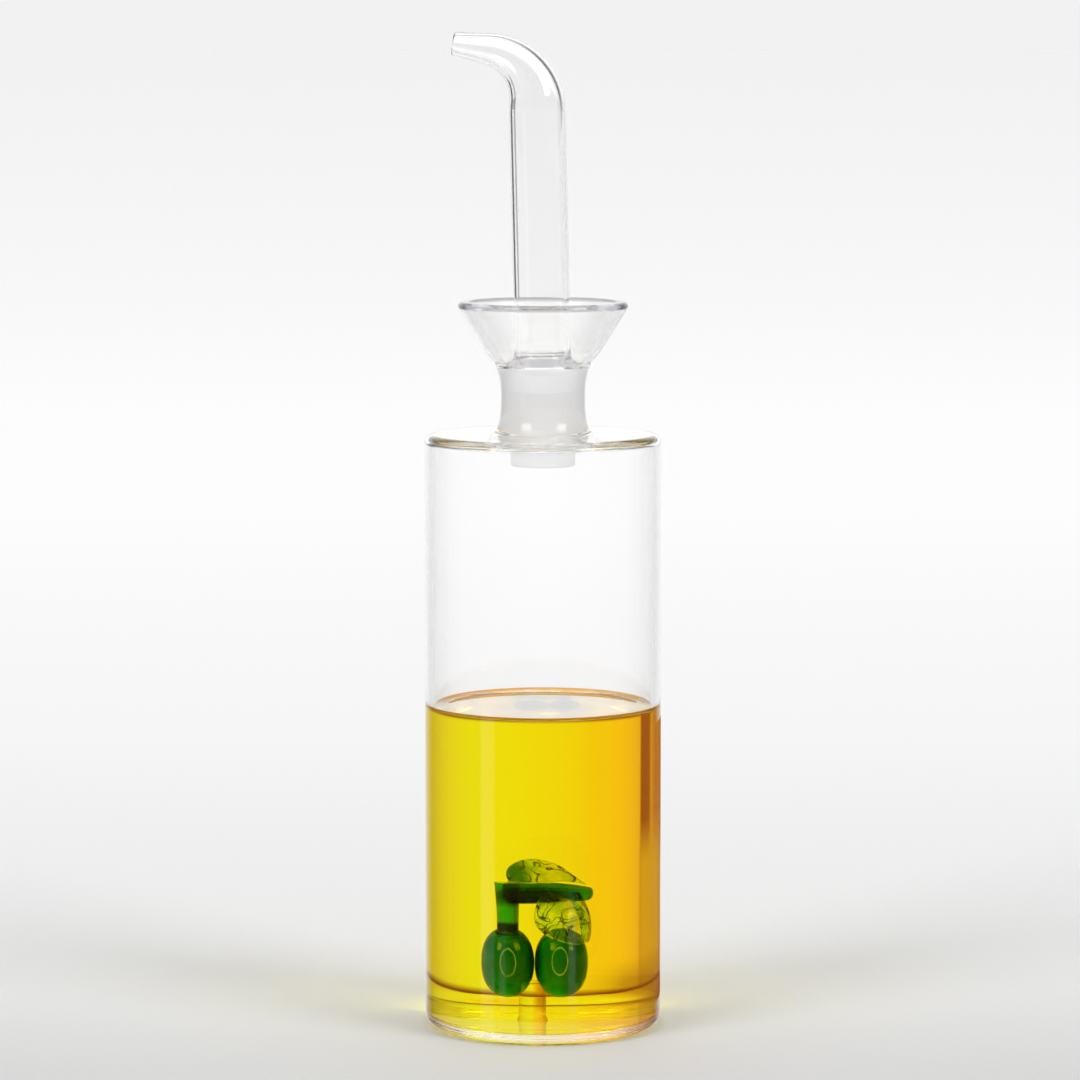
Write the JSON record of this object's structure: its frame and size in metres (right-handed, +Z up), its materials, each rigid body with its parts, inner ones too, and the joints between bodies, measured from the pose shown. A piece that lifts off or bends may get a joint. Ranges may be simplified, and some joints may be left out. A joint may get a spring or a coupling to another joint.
{
  "type": "oil cruet",
  "caption": "Clear glass oil cruet: straight bottle with a drip cup round its neck, a bent ground-in pouring tube, golden oil to half height and a green glass olive sprig inside.",
  "frame": {"origin": "centre of the underside, on the surface that the bottle stands on", "axes": "+Z up along the bottle's axis, -X the way the pourer points, -Y the front"},
  "size_m": [0.06, 0.06, 0.2525],
  "materials": {
    "clear_glass": "clear, fire polished, with a ground band inside the neck",
    "pourer_glass": "clear tube with a frosted ground cone",
    "olive_oil": "clear golden yellow liquid",
    "deep_green_glass": "polished deep green",
    "twig_green_glass": "polished mid green",
    "leaf_green_glass": "polished yellow green"
  },
  "bodies": {
    "root": {"bottle": "clear_glass", "pourer": "pourer_glass", "oil": "olive_oil", "olive_left": "deep_green_glass", "olive_right": "deep_green_glass", "twig": "twig_green_glass", "leaf_upper": "leaf_green_glass", "leaf_lower": "leaf_green_glass"}
  },
  "joints": []
}
